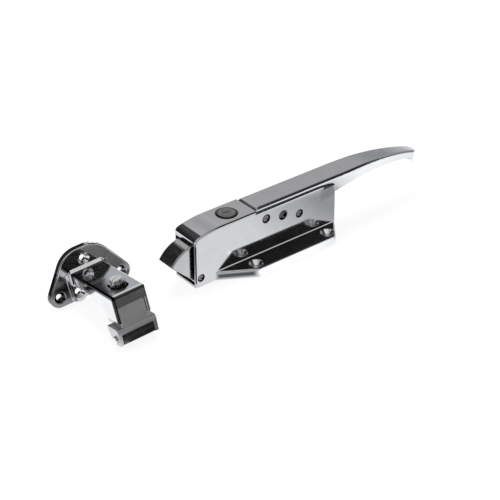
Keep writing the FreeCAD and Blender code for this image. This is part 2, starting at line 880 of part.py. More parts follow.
def lock_barrel():
    bottom = cover_top - lock_length
    face_top = cover_top + lock_face_height
    body = rod_z(lock_x, 0, lock_body_radius, bottom, cover_top + join_overlap)
    face = rod_z(lock_x, 0, lock_face_radius, cover_top, face_top)
    face = round_edges(face, lock_face_round, lambda edge: abs(middle(edge).z - face_top) < 0.01)
    barrel = joined([body, face])
    bore = rod_z(lock_x, 0, plug_radius + running_gap, bottom - 1, face_top + 1)
    groove = rod_z(lock_x, 0, plug_radius + lock_ring_gap, face_top - lock_ring_depth, face_top + 1)
    return without(barrel, [bore, groove])


def lock_plug():
    bottom = cover_top - lock_length - cam_gap
    top = cover_top + lock_face_height
    plug = rod_z(lock_x, 0, plug_radius, bottom, top)
    half = keyway_length / 2
    slot = block(lock_x - half, lock_x, -keyway_width / 2 - keyway_step / 2,
                 keyway_width / 2 - keyway_step / 2, top - keyway_depth, top + 1)
    other = block(lock_x - keyway_overlap, lock_x + half, -keyway_width / 2 + keyway_step / 2,
                  keyway_width / 2 + keyway_step / 2, top - keyway_depth, top + 1)
    screw_hole = rod_z(lock_x, 0, cam_screw_radius, bottom - 1, bottom + cam_screw_length)
    plug = without(plug, [slot, other, screw_hole])
    plug.rotate(Vector(lock_x, 0, 0), Vector(0, 0, 1), keyway_turn)
    return plug


def lock_nut():
    top = cover_top - cover_wall
    across = lock_nut_flats / math.sqrt(3)
    corners = []
    for step in range(6):
        angle = math.radians(60 * step)
        corners.append((lock_x + across * math.cos(angle), across * math.sin(angle), 0))
    nut = flat_plate(corners, top - lock_nut_height, top)
    return nut.cut(rod_z(lock_x, 0, lock_body_radius, 0, big))


def lock_cam():
    top = cover_top - lock_length - cam_gap
    hub = rod_z(lock_x, 0, cam_half_width, top - cam_thickness, top)
    half = cam_half_width * cam_tongue_share
    tongue = block(lock_x, lock_x + cam_reach, -half, half, top - cam_thickness, top)
    hole = rod_z(lock_x, 0, cam_screw_radius, top - big, top + 1)
    cam = joined([hub, tongue])
    cam = round_edges(cam, cam_tip_round, lambda edge: edge.BoundBox.ZLength > 1
                      and middle(edge).x > lock_x + cam_reach - 0.1)
    return cam.cut(hole)


def lock_cam_screw():
    top = cover_top - lock_length - cam_gap - cam_thickness
    head = rod_z(lock_x, 0, cam_screw_head_radius, top - cam_screw_head_height, top)
    shank = rod_z(lock_x, 0, cam_screw_radius, top - join_overlap, top + cam_thickness + cam_screw_length - 1)
    bottom = top - cam_screw_head_height
    slot = block(lock_x - big, lock_x + big, -cam_screw_slot_half, cam_screw_slot_half,
                 bottom - 1, bottom + cam_screw_slot_depth)
    return without(joined([head, shank]), [slot])


# The strike plate: a top lobe with one hole, two outer and two inner lobes at the bottom
def strike_plate():
    outline = [(-plate_top_half, plate_top, plate_top_radius), (plate_top_half, plate_top, plate_top_radius),
               (plate_side_half, plate_bottom, plate_lobe_radius),
               (-plate_side_half, plate_bottom, plate_lobe_radius)]

    def face_edge(edge):
        return abs(middle(edge).y + plate_thickness) < 0.01 and edge.BoundBox.YLength < 0.01

    plate = round_edges(side_plate(outline, -plate_thickness, 0), plate_edge_round, face_edge)
    for x in (-inner_lobe_x, inner_lobe_x):
        lobe = rod_y(x, inner_lobe_z, inner_lobe_radius, -plate_thickness, 0)
        plate = plate.fuse(round_edges(lobe, plate_edge_round, face_edge))
    low = inner_lobe_bottom - 2
    bend = plate_notch_half * plate_notch_round_share
    notch = side_plate([(-plate_notch_half, low, 0), (-plate_notch_half, plate_notch_top, bend),
                        (plate_notch_half, plate_notch_top, bend), (plate_notch_half, low, 0)],
                       -plate_thickness - 1, 1)
    return without(plate, [notch])


def plate_hole(x, z):
    hole = countersink(0, 0, 0, plate_hole_radius, plate_sink_radius, plate_sink_depth)
    hole.rotate(Vector(0, 0, 0), Vector(1, 0, 0), 90)
    hole.translate(Vector(x, -plate_thickness, z))
    return hole


def plate_hole_places():
    return [(0, top_hole_z), (-outer_hole_x, outer_hole_z), (outer_hole_x, outer_hole_z),
            (-inner_lobe_x, inner_lobe_z), (inner_lobe_x, inner_lobe_z)]


# Side outline of the arm, in Y and Z; inset draws its hollow inside
def arm_profile():
    start = -plate_thickness + 1
    return [(start, arm_top, 0), (-arm_end, arm_top, 0), (-arm_end, arm_bottom, arm_foot_round),
            (-arm_heel, arm_bottom, arm_haunch_round), (-arm_haunch, arm_root_bottom, arm_haunch_round),
            (start, arm_root_bottom, 0)]


def arm_plan(inset):
    start = -plate_thickness + 1
    end = -arm_end
    return [(-arm_root_half + inset, start, 0), (-arm_end_half + inset, end, 0),
            (arm_end_half - inset, end, 0), (arm_root_half - inset, start, 0)]


def strike_base():
    outer = cross_plate(arm_profile(), -arm_root_half, arm_root_half)
    outer = outer.common(flat_plate(arm_plan(0), -big, big))

    def arm_edge(edge):
        mid = middle(edge)
        box = edge.BoundBox
        along_top = abs(mid.z - arm_top) < 0.01 and box.YLength > least_long_edge
        end_top = abs(mid.z - arm_top) < 0.01 and abs(mid.y + arm_end) < 0.01
        end_side = abs(mid.y + arm_end) < 0.01 and box.ZLength > least_upright_edge
        return along_top or end_top or end_side

    outer = round_edges(outer, arm_edge_round, arm_edge)
    hollow = flat_plate(arm_plan(arm_wall), -big, arm_top - arm_top_wall)
    keep = block(-big, big, -arm_end, big, -big, big)
    end_wall = block(-big, big, -arm_end, -arm_end + arm_wall, arm_end_bottom, big)
    root_wall = block(-big, big, -plate_thickness, big, -big, big)
    hollow = hollow.common(keep).cut(end_wall).cut(root_wall)
    arm = outer.cut(hollow)
    # Cup in the top of the arm, with its floor between the side walls
    cup_front = -cup_middle - cup_length / 2
    cup_back = -cup_middle + cup_length / 2
    floor_top = arm_top - cup_depth
    shelf = block(-arm_end_half, arm_end_half, cup_front - cup_rim, cup_back + cup_rim,
                  floor_top - cup_floor, arm_top - 1)
    arm = joined([arm, shelf.common(outer)])
    rib_foot = inner_lobe_bottom + plate_rib_foot_gap
    ribs = []
    for sign in (-1, 1):
        x = sign * plate_rib_x
        rib = block(x - plate_rib_half, x + plate_rib_half, -plate_thickness - plate_rib_height, -1,
                    rib_foot, arm_top)
        ribs.append(rib)
    base = joined([strike_plate(), arm] + ribs)

    def root_edge(edge):
        mid = middle(edge)
        on_face = abs(mid.y + plate_thickness) < 0.01 and edge.BoundBox.YLength < 0.01
        beside = abs(abs(mid.x) - arm_root_half) < 0.3
        above = abs(mid.z - arm_top) < 0.5 and abs(mid.x) < arm_root_half
        return on_face and (beside or above)

    base = round_edges(base, arm_root_round, root_edge)
    half = cup_half_width
    bend = half * cup_round_share
    cup = flat_plate([(-half, cup_front, bend), (half, cup_front, bend), (half, cup_back, bend),
                      (-half, cup_back, bend)], floor_top, arm_top + 1)
    cutters = [cup, rod_z(0, -screw_y, screw_radius + screw_hole_gap,
                          floor_top - cup_floor - 1, floor_top + 1)]
    for x, z in plate_hole_places():
        cutters.append(plate_hole(x, z))
    return without(base, cutters)


def slider_half():
    return arm_end_half - arm_wall - slider_gap


def strike_slider():
    half = slider_half()
    front_y = -(arm_end - arm_wall - slider_front_gap)
    panel = block(-half, half, front_y, front_y + slider_panel, clevis_top - 1, slider_panel_top)
    top = block(-half, half, front_y, -slider_back, slider_block_top - slider_top_wall, slider_block_top)
    sides = []
    for sign in (-1, 1):
        x0 = half - slider_side_wall if sign > 0 else -half
        sides.append(block(x0, x0 + slider_side_wall, front_y, -slider_back,
                           clevis_top - 1, slider_block_top))
    boss = rod_z(0, -screw_y, slider_boss_radius, slider_boss_bottom, slider_block_top)
    # Clevis block, hollowed for the roller
    bar = cross_plate([(-clevis_front, clevis_top, clevis_round), (-clevis_front, clevis_bar_bottom, 0),
                       (-clevis_back, clevis_bar_bottom, 0),
                       (-clevis_back, clevis_top, clevis_shoulder_round)],
                      -clevis_half_width, clevis_half_width)
    ear = [(-clevis_front, clevis_top, clevis_round),
           (-clevis_front + clevis_front_slant, clevis_bottom, clevis_foot_round),
           (-clevis_back - clevis_back_slant, clevis_bottom, clevis_back_round),
           (-clevis_back, clevis_top, clevis_shoulder_round)]
    inner = clevis_half_width - clevis_ear
    ears = [cross_plate(ear, -clevis_half_width, -inner), cross_plate(ear, inner, clevis_half_width)]
    casting = joined([panel, top] + sides + [boss, bar] + ears)
    room = rod_x(-roller_y, roller_z, roller_radius + roller_gap, -inner, inner)
    cutters = [room, rod_z(0, -screw_y, screw_radius + running_gap, clevis_bar_bottom - 1, big),
               rod_x(-roller_y, roller_z, roller_pin_radius + wall_hole_gap, -big, big)]
    return without(casting, cutters)


def strike_roller():
    half = clevis_half_width - clevis_ear - roller_gap
    roller = rod_x(-roller_y, roller_z, roller_radius, -half, half)
    roller = round_edges(roller, roller_round, lambda edge: edge.BoundBox.XLength < 0.01)
    return roller.cut(rod_x(-roller_y, roller_z, roller_pin_radius + running_gap, -big, big))


def strike_roller_pin():
    end = clevis_half_width
    shank = rod_x(-roller_y, roller_z, roller_pin_radius, -end - join_overlap, end + join_overlap)
    head = rod_x(-roller_y, roller_z, roller_pin_head_radius, -end - roller_pin_head, -end)
    head = round_edges(head, roller_pin_head_round,
                       lambda edge: abs(middle(edge).x + end + roller_pin_head) < 0.01)
    tail = rod_x(-roller_y, roller_z, roller_pin_end_radius, end, end + roller_pin_end)
    return joined([shank, head, tail])


def stack_levels():
    level = arm_top - cup_depth
    levels = [level]
    for height in (flat_washer_height, spacer_nut_height, tooth_washer_height, screw_head_height):
        level += height
        levels.append(level)
    return levels


def strike_flat_washer():
    levels = stack_levels()
    washer = rod_z(0, -screw_y, flat_washer_radius, levels[0], levels[1])
    return washer.cut(rod_z(0, -screw_y, screw_radius + running_gap, -big, big))


def strike_spacer_nut():
    levels = stack_levels()
    across = spacer_nut_flats / math.sqrt(3)
    corners = []
    for step in range(6):
        angle = math.radians(60 * step + spacer_nut_turn)
        corners.append((across * math.cos(angle), -screw_y + across * math.sin(angle), 0))
    nut = flat_plate(corners, levels[1], levels[2])
    cone_start = levels[2] - spacer_nut_cone_height
    cone = Part.makeCone(across + spacer_nut_cone_out, across - spacer_nut_cone_in, spacer_nut_cone_height,
                         Vector(0, -screw_y, cone_start))
    lower = rod_z(0, -screw_y, across + 1, levels[1] - 1, cone_start)
    nut = nut.common(joined([cone, lower]))
    return nut.cut(rod_z(0, -screw_y, screw_radius + running_gap, -big, big))


def strike_tooth_washer():
    levels = stack_levels()
    washer = rod_z(0, -screw_y, tooth_washer_radius, levels[2], levels[3])
    notches = []
    for step in range(tooth_count):
        angle = math.radians(360 / tooth_count * step)
        reach = tooth_washer_radius + tooth_notch_out
        x = reach * math.cos(angle)
        y = -screw_y + reach * math.sin(angle)
        notches.append(rod_z(x, y, tooth_depth, levels[2] - 1, levels[3] + 1))
    notches.append(rod_z(0, -screw_y, screw_radius + running_gap, -big, big))
    return without(washer, notches)


def strike_screw():
    levels = stack_levels()
    head = rod_z(0, -screw_y, screw_head_radius, levels[3], levels[4])
    head = round_edges(head, screw_head_round, lambda edge: abs(middle(edge).z - levels[4]) < 0.01)
    shank = rod_z(0, -screw_y, screw_radius, screw_tip, levels[3] + join_overlap)
    half = screw_slot_width / 2
    slot = block(-big, big, -half, half, levels[4] - screw_slot_depth, levels[4] + 1)
    slot.rotate(Vector(0, 0, 0), Vector(0, 0, 1), screw_slot_turn)
    slot.translate(Vector(0, -screw_y, 0))
    return joined([head, shank]).cut(slot)


# The lean at which the plate's lower back edge and the roller stand on one level
def strike_lean():
    low_plate = inner_lobe_z - inner_lobe_radius
    rise = roller_z - low_plate
    reach = math.hypot(roller_y, rise)
    return math.degrees(math.asin(roller_radius / reach) + math.atan2(-rise, roller_y))


def turn_strike(shape):
    shape.rotate(Vector(0, 0, 0), Vector(1, 0, 0), -strike_lean())
    shape.rotate(Vector(0, 0, 0), Vector(0, 1, 0), strike_roll)
    shape.rotate(Vector(0, 0, 0), Vector(0, 0, 1), strike_yaw)
    return shape


# The lift at which the two lobes on the low side and the roller's low end stand on the floor
def strike_height():
    roller_end = clevis_half_width - clevis_ear - roller_gap
    feet = [rod_y(-inner_lobe_x, inner_lobe_z, inner_lobe_radius, -plate_thickness, 0),
            rod_y(-outer_hole_x, plate_bottom + plate_lobe_radius, plate_lobe_radius, -plate_thickness, 0),
            rod_x(-roller_y, roller_z, roller_radius, -roller_end, roller_end)]
    return floor_gap - min(turn_strike(foot).optimalBoundingBox(False).ZMin for foot in feet)


# Stand a piece of the strike where the photograph shows it
def stand_strike(shape):
    turn_strike(shape)
    shape.translate(Vector(strike_x, strike_y, strike_height()))
    return shape


def place_latch(shape):
    shape.translate(Vector(front, 0, 0))
    return shape


latch_pieces = [latch_housing, handle, handle_pivot_screw, stop_screw, bolt, bolt_pivot_pin, bolt_drive_pin,
                bolt_spacers, bolt_spring, lock_barrel, lock_plug, lock_nut, lock_cam, lock_cam_screw]
strike_pieces = [strike_base, strike_slider, strike_roller, strike_roller_pin, strike_screw,
                 strike_flat_washer, strike_spacer_nut, strike_tooth_washer]


def main():
    os.makedirs("parts", exist_ok=True)
    for pieces, place in ((latch_pieces, place_latch), (strike_pieces, stand_strike)):
        for make in pieces:
            shape = place(make())
            shape.exportStep(os.path.join("parts", make.__name__ + ".step"))
            print(make.__name__, "solids", len(shape.Solids), "volume", round(shape.Volume),
                  "valid", shape.isValid())


main()
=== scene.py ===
import math
import bpy
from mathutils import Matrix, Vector


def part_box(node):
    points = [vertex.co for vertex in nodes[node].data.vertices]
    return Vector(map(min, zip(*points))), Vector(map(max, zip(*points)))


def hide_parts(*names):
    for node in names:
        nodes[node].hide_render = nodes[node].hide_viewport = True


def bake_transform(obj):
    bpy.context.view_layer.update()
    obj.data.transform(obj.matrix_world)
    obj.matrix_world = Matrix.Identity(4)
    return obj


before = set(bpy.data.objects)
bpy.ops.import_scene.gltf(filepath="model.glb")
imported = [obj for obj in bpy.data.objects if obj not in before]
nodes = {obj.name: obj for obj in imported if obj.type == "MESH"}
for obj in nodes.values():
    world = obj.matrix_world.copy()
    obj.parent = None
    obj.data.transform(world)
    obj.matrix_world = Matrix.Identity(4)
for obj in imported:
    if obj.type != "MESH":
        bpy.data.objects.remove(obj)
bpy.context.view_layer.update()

print("frame loaded")


# Node helpers: a socket as an input is linked, anything else is set as a value
def addNode(tree, kind, inputs=None, **settings):
    node = tree.nodes.new(kind)
    for key, value in settings.items():
        setattr(node, key, value)
    for key, value in (inputs or {}).items():
        if isinstance(value, bpy.types.NodeSocket):
            tree.links.new(value, node.inputs[key])
        else:
            node.inputs[key].default_value = value
    return node


def newMaterial(name):
    material = bpy.data.materials.new(name)
    material.use_nodes = True
    material.node_tree.nodes.clear()
    return material, material.node_tree


# Stops are places with a colour, or with one number for a grey
def colourRamp(tree, factor, stops):
    ramp = addNode(tree, "ShaderNodeValToRGB", {"Fac": factor})
    while len(ramp.color_ramp.elements) < len(stops):
        ramp.color_ramp.elements.new(0.5)
    for element, (place, colour) in zip(ramp.color_ramp.elements, stops):
        element.position = place
        element.color = (*colour, 1) if isinstance(colour, tuple) else (colour, colour, colour, 1)
    return ramp.outputs["Color"]


def spread(tree, value, low, high, newLow, newHigh):
    node = addNode(tree, "ShaderNodeMapRange", {"Value": value, "From Min": low, "From Max": high,
                                                "To Min": newLow, "To Max": newHigh})
    return node.outputs["Result"]


def maths(tree, operation, first, second):
    return addNode(tree, "ShaderNodeMath", {0: first, 1: second}, operation=operation).outputs[0]


def vectorMaths(tree, operation, first, second=(0, 0, 0), output="Vector"):
    return addNode(tree, "ShaderNodeVectorMath", {0: first, 1: second}, operation=operation).outputs[output]


def mixed(tree, kind, factor, first, second, **settings):
    node = addNode(tree, "ShaderNodeMix", {"Factor": factor, "A": first, "B": second}, data_type=kind, **settings)
    return node.outputs["Result"]


def noise(tree, place, scale, settings):
    return addNode(tree, "ShaderNodeTexNoise", {"Vector": place, "Scale": scale, **settings}).outputs["Fac"]


def splitUp(tree, vector):
    return addNode(tree, "ShaderNodeSeparateXYZ", {"Vector": vector}).outputs


# A factor that is multiplied by the tone where the zone is 1
def dimmed(tree, factor, zone, tone):
    return maths(tree, "MULTIPLY", factor, spread(tree, zone, 0.0, 1.0, 1.0, tone))


# The place in a piece's own frame: its origin in metres and its three axes
def ownPlace(tree, place, ownFrame):
    origin, *axes = ownFrame
    offset = vectorMaths(tree, "SUBTRACT", place, origin)
    along = [vectorMaths(tree, "DOT_PRODUCT", offset, axis, "Value") for axis in axes]
    return addNode(tree, "ShaderNodeCombineXYZ", dict(zip("XYZ", along))).outputs["Vector"]


# The same place on both sides of the middle plane
def foldedPlace(tree, place):
    x, y, z = splitUp(tree, place)
    folded = addNode(tree, "ShaderNodeCombineXYZ", {"X": x, "Y": maths(tree, "ABSOLUTE", y, 0.0), "Z": z})
    return folded.outputs["Vector"]


holeFade = {"inward": 0.0002, "outward": 0.0001}


# 1 within a given reach of a hole's axis, which runs across the walls or straight up
def nearHole(tree, place, hole):
    x, across, reach, upright = hole
    kept = (1, 1, 0) if upright else (1, 0, 1)
    centre = (x, across, 0) if upright else (x, 0, across)
    distance = vectorMaths(tree, "DISTANCE", vectorMaths(tree, "MULTIPLY", place, kept), centre, "Value")
    return spread(tree, distance, reach - holeFade["inward"], reach + holeFade["outward"], 1.0, 0.0)


# 1 inside a box, fading out over twice the softness at its sides
def insideBox(tree, place, low, high, soft=0.0001):
    middle = tuple((a + b) / 2 for a, b in zip(low, high))
    half = tuple((b - a) / 2 for a, b in zip(low, high))
    size = vectorMaths(tree, "ABSOLUTE", vectorMaths(tree, "SUBTRACT", place, middle))
    x, y, z = splitUp(tree, vectorMaths(tree, "SUBTRACT", size, half))
    largest = maths(tree, "MAXIMUM", maths(tree, "MAXIMUM", x, y), z)
    return spread(tree, largest, -soft, soft, 1.0, 0.0)


# Plating that every other metal here starts from; lengths are in metres
chromeLook = {
    "grainScale": (40.0, 1800.0, 1800.0), "grainNoise": {"Detail": 5.0, "Roughness": 0.65},
    "cloudScale": 26.0, "cloudNoise": {"Detail": 4.0, "Roughness": 0.6, "Distortion": 0.6},
    "waveScale": 45.0, "waveNoise": {"Detail": 1.0}, "waveHeight": 0.05, "grainHeight": 0.010, "bumpDepth": 0.001,
    "speckScale": 900.0, "speckNoise": {"Detail": 2.0}, "speckFrom": 0.68, "speckTo": 0.8, "speckRough": 0.12,
    "edgeRadius": 0.0004, "wearAndSheenRadius": 0.0010, "wearAndSheenFrom": 0.995, "wearAndSheenTo": 0.8,
    "shadeReach": 0.012, "shadeLow": 0.06, "shadeHigh": 0.36, "shadeTone": 0.05,
    "cloudShare": 0.6, "grainShare": 0.4, "darkFrom": 0.3, "lightFrom": 0.7,
    "darkTone": (0.58, 0.585, 0.60), "lightTone": (0.70, 0.705, 0.715), "wearAndSheenTone": (0.82, 0.82, 0.82),
    "cloudFrom": 0.35, "cloudTo": 0.7, "roughLow": 0.07, "roughHigh": 0.13,
    "grainFrom": 0.4, "grainTo": 0.75, "grainRough": 0.05, "insideRough": 0.35}


# Painted shade: how much of its colour a place keeps, less in corners, inside the castings, in dim zones and at
# holes, and more where painted highlights raise it
def metalShade(tree, place, folded, inside, lit, look):
    # Painted shade in corners, from ambient occlusion
    openness = addNode(tree, "ShaderNodeAmbientOcclusion", {"Distance": look["shadeReach"]}, samples=6)
    shade = spread(tree, openness.outputs["AO"], look["shadeLow"], look["shadeHigh"], look["shadeTone"], 1.0)
    if inside is not None:
        # Painted shade inside the castings
        shade = dimmed(tree, shade, inside, look["insideShadeTone"])
    shade = maths(tree, "MAXIMUM", shade, lit)
    # Painted shade and dark reflections in boxes
    for low, high, tone, soft in look.get("paintedShadeBoxes", ()):
        shade = dimmed(tree, shade, insideBox(tree, folded, low, high, soft), tone)
    # Painted shade rings round the holes
    for hole in look.get("holeShadeRings", ()):
        shade = dimmed(tree, shade, nearHole(tree, place, hole), look["holeShadeTone"])
    # Painted shade round the pin faces: outside them the colour is darkened to the rim tone
    if "pinFaces" in look:
        face = 0.0
        for pin in look["pinFaces"]:
            face = maths(tree, "MAXIMUM", face, nearHole(tree, place, pin))
        shade = maths(tree, "MULTIPLY", shade, spread(tree, face, 0.0, 1.0, look["rimShadeTone"], 1.0))
    return shade


# Bright metal: fine grain along one direction, wiped clouds, edges painted lighter as wear and as a painted
# highlight, and a slightly wavy cast surface
def metalMaterial(name, look):
    material, tree = newMaterial(name)
    place = addNode(tree, "ShaderNodeTexCoord").outputs["Object"]
    own = ownPlace(tree, place, look["ownFrame"]) if "ownFrame" in look else place
    folded = foldedPlace(tree, own)
    grainSpace = addNode(tree, "ShaderNodeMapping", {"Vector": place, "Scale": look["grainScale"]})
    grain = noise(tree, grainSpace.outputs["Vector"], 1.0, look["grainNoise"])
    clouds = noise(tree, place, look["cloudScale"], look["cloudNoise"])
    specks = noise(tree, place, look["speckScale"], look["speckNoise"])
    waves = noise(tree, place, look["waveScale"], look["waveNoise"])

    # Edges that catch the light as painted highlights, and the inside of a hollow casting, painted darker as
    # shade and made rougher
    # Painted highlights: the lit boxes keep their colour undarkened and turn their normal toward one fixed
    # direction
    lit = 0.0
    for low, high in look.get("litBoxes", ()):
        lit = maths(tree, "MAXIMUM", lit, insideBox(tree, folded, low, high))
    inside = insideBox(tree, place, look["insideLow"], look["insideHigh"]) if "insideLow" in look else None

    # Lighter edges, standing for wear and for a painted highlight
    wideEdge = addNode(tree, "ShaderNodeBevel", {"Radius": look["wearAndSheenRadius"]}, samples=4).outputs["Normal"]
    trueNormal = addNode(tree, "ShaderNodeNewGeometry").outputs["Normal"]
    facing = vectorMaths(tree, "DOT_PRODUCT", wideEdge, trueNormal, "Value")
    wearAndSheen = spread(tree, facing, look["wearAndSheenFrom"], look["wearAndSheenTo"], 0.0, 1.0)
    tone = maths(tree, "ADD", maths(tree, "MULTIPLY", clouds, look["cloudShare"]),
                 maths(tree, "MULTIPLY", grain, look["grainShare"]))
    faceColour = colourRamp(tree, tone, [(look["darkFrom"], look["darkTone"]),
                                         (look["lightFrom"], look["lightTone"])])
    wornAndSheened = mixed(tree, "RGBA", wearAndSheen, faceColour, (*look["wearAndSheenTone"], 1))
    shade = metalShade(tree, place, folded, inside, lit, look)
    colour = mixed(tree, "RGBA", 1.0, wornAndSheened, shade, blend_type="MULTIPLY")

    wiped = spread(tree, clouds, look["cloudFrom"], look["cloudTo"], look["roughLow"], look["roughHigh"])
    scratched = spread(tree, grain, look["grainFrom"], look["grainTo"], 0.0, look["grainRough"])
    spotted = spread(tree, specks, look["speckFrom"], look["speckTo"], 0.0, look["speckRough"])
    roughness = maths(tree, "ADD", maths(tree, "ADD", wiped, scratched), spotted)
    if inside is not None:
        roughness = maths(tree, "ADD", roughness, maths(tree, "MULTIPLY", inside, look["insideRough"]))

    roundEdge = addNode(tree, "ShaderNodeBevel", {"Radius": look["edgeRadius"]}, samples=6).outputs["Normal"]
    height = maths(tree, "ADD", maths(tree, "MULTIPLY", grain, look["grainHeight"]),
                   maths(tree, "MULTIPLY", waves, look["waveHeight"]))
    normal = addNode(tree, "ShaderNodeBump", {"Height": height, "Strength": 1.0, "Distance": look["bumpDepth"],
                                              "Normal": roundEdge}).outputs["Normal"]
    if "litNormal" in look:
        # Painted highlight: the lit edges on the near side all mirror along one fixed direction
        nearSide = maths(tree, "LESS_THAN", splitUp(tree, own)["Y"], 0.0)
        turned = mixed(tree, "VECTOR", maths(tree, "MULTIPLY", lit, nearSide), normal, look["litNormal"])
        normal = vectorMaths(tree, "NORMALIZE", turned)
    shader = addNode(tree, "ShaderNodeBsdfPrincipled", {"Base Color": colour, "Metallic": 1.0,
                                                        "Roughness": roughness, "Normal": normal})
    addNode(tree, "ShaderNodeOutputMaterial", {"Surface": shader.outputs["BSDF"]})
    return material


# Painted shade boxes (dim boxes) are a low and a high corner, the tone and the softness; painted highlight boxes
# (lit boxes) are the two corners.
# Holes and pin faces are x, the height or the place across, the reach, and whether the axis stands upright.
housingLook = dict(
    chromeLook, shadeTone=0.3,
    insideLow=(-0.1082, -0.0147, -0.01), insideHigh=(0.0645, 0.0147, 0.0553), insideShadeTone=0.2,
    # Painted highlight along the root of the flange
    litBoxes=[((-0.085, 0.0166, 0.0093), (0.066, 0.0178, 0.0104))],  # root of the flange
    litNormal=(-0.135, -0.918, 0.372),
    # Painted shade and dark reflections on the flange and the wall
    paintedShadeBoxes=[((-0.0855, 0.0172, 0.0018), (-0.0525, 0.0366, 0.0072), 0.14, 0.0014),  # slanted end of the flange
              ((-0.1112, 0.0159, 0.0045), (-0.1090, 0.0172, 0.0465), 0.05, 0.0002),  # front edge of the wall
              ((0.0500, 0.0140, 0.0517), (0.0668, 0.0172, 0.0545), 0.12, 0.0005),    # rear top corner of the wall
              ((0.0480, 0.0150, 0.0425), (0.0668, 0.0172, 0.0520), 0.66, 0.0035)],   # grey patch below it
    # Painted shade rings round the pin holes and a painted shadow ring round the lock
    holeShadeRings=[(-0.0236, 0.0457, 0.0050, False),  # handle pivot
               (0.0188, 0.0360, 0.0047, False),   # stop screw
               (-0.0024, 0.0420, 0.0054, False),  # open hole
               (-0.1039, 0.0096, 0.0043, False),  # bolt pin
               (-0.0599, 0.0, 0.0114, True)],     # lock
    holeShadeTone=0.03)
handleLook = dict(
    chromeLook, insideLow=(-0.04, -0.0119, -0.01), insideHigh=(0.095, 0.0119, 0.0568), insideShadeTone=0.2,
    grainScale=(30.0, 1500.0, 1500.0), roughLow=0.12, roughHigh=0.2, grainHeight=0.018,
    # Painted shade on the grip
    paintedShadeBoxes=[((0.15, -0.1, -0.1), (0.4, 0.1, 0.2), 0.83, 0.045)])  # the grip, a little darker
boltLook = dict(
    chromeLook, grainScale=(1200.0, 60.0, 1200.0), roughLow=0.12, roughHigh=0.2, grainHeight=0.03,
    darkTone=(0.46, 0.46, 0.47), lightTone=(0.62, 0.62, 0.62))
# The strike leans, so its boxes are in its own frame: across the plate, out from the plate, and up
strikeFrame = ((-0.1986, 0.0467, 0.04187), (0.991, -0.0832, 0.1045), (0.1052, 0.9684, -0.2262),
               (-0.0824, 0.2352, 0.9685))
strikeLook = dict(
    chromeLook, grainScale=(1500.0, 50.0, 1500.0), waveHeight=0.07, darkTone=(0.53, 0.53, 0.54),
    lightTone=(0.67, 0.67, 0.68), shadeTone=0.5, roughLow=0.07, roughHigh=0.12, ownFrame=strikeFrame,
    # Painted highlights along the root, the right edge and the end edge of the arm's top
    litBoxes=[((-0.0168, 0.0068, -0.0100), (0.0168, 0.0096, -0.0071)),   # root of the arm
              ((0.0163, 0.0098, -0.0112), (0.0182, 0.0925, -0.0090)),    # right edge of the arm's top
              ((-0.0150, 0.0896, -0.0106), (0.0172, 0.0929, -0.0090))],  # end edge of the arm's top
    litNormal=(-0.230, -0.623, 0.748),
    # Painted shade and dark reflections on the plate's lobes and rims and along the arm's edges
    paintedShadeBoxes=[((-0.07, 0.0045, -0.08), (-0.0178, 0.0076, -0.0100), 0.5, 0.0003),        # left lobe
              ((-0.07, 0.0045, -0.08), (-0.0178, 0.0076, -0.0220), 0.4, 0.002),         # its lower part
              ((-0.07, 0.0008, -0.08), (-0.0178, 0.0062, -0.0060), 0.1, 0.0003),        # its rim
              ((0.0178, 0.0015, -0.08), (0.07, 0.0066, 0.0), 0.25, 0.0002),             # rim of the right lobe
              ((-0.0182, 0.0098, -0.0132), (-0.0150, 0.0948, -0.0090), 0.05, 0.0004),   # left edge of the arm
              ((-0.0160, 0.0930, -0.0126), (0.0182, 0.0950, -0.0102), 0.12, 0.0002),    # top of the arm's end
              ((-0.0160, 0.0930, -0.0220), (0.0182, 0.0950, -0.0102), 0.75, 0.0008),    # upper half of that end
              ((0.0150, 0.0925, -0.0374), (0.0182, 0.0950, -0.0102), 0.4, 0.0003),      # its right edge
              ((-0.0182, 0.0912, -0.0374), (-0.0144, 0.0950, -0.0090), 0.05, 0.0004)])  # its left edge
satinLook = dict(
    chromeLook, grainScale=(700.0, 700.0, 90.0), roughLow=0.34, roughHigh=0.46, grainRough=0.12, grainHeight=0.05,
    darkTone=(0.38, 0.38, 0.385), lightTone=(0.57, 0.57, 0.575), wearAndSheenTone=(0.7, 0.7, 0.7))
pinLook = dict(
    chromeLook, grainScale=(900.0, 900.0, 900.0), roughLow=0.28, roughHigh=0.4, rimShadeTone=0.1,
    # Painted shade outside the faces of the pins
    pinFaces=[(-0.0236, 0.0457, 0.0032, False), (0.0188, 0.0360, 0.0029, False),
              (-0.1039, 0.0096, 0.0027, False)],
    darkTone=(0.16, 0.158, 0.152), lightTone=(0.3, 0.295, 0.285), wearAndSheenTone=(0.5, 0.49, 0.48))
screwLook = dict(
    chromeLook, grainScale=(900.0, 900.0, 900.0), roughLow=0.16, roughHigh=0.26, ownFrame=strikeFrame,
    # Painted highlight on the top of the screw's head
    litBoxes=[((-0.0054, 0.0672, -0.0028), (0.0054, 0.0780, -0.0018))],  # top of the adjusting screw's head
    litNormal=(-0.230, -0.623, 0.748),
    darkTone=(0.5, 0.5, 0.5), lightTone=(0.68, 0.68, 0.68), wearAndSheenTone=(0.8, 0.8, 0.8))
springLook = dict(
    chromeLook, grainScale=(900.0, 900.0, 900.0), roughLow=0.25, roughHigh=0.4,
    darkTone=(0.22, 0.21, 0.2), lightTone=(0.36, 0.34, 0.32), wearAndSheenTone=(0.5, 0.48, 0.46))
brassLook = dict(
    chromeLook, grainScale=(900.0, 900.0, 120.0), roughLow=0.24, roughHigh=0.38,
    darkTone=(0.48, 0.36, 0.16), lightTone=(0.66, 0.52, 0.26), wearAndSheenTone=(0.78, 0.66, 0.4))
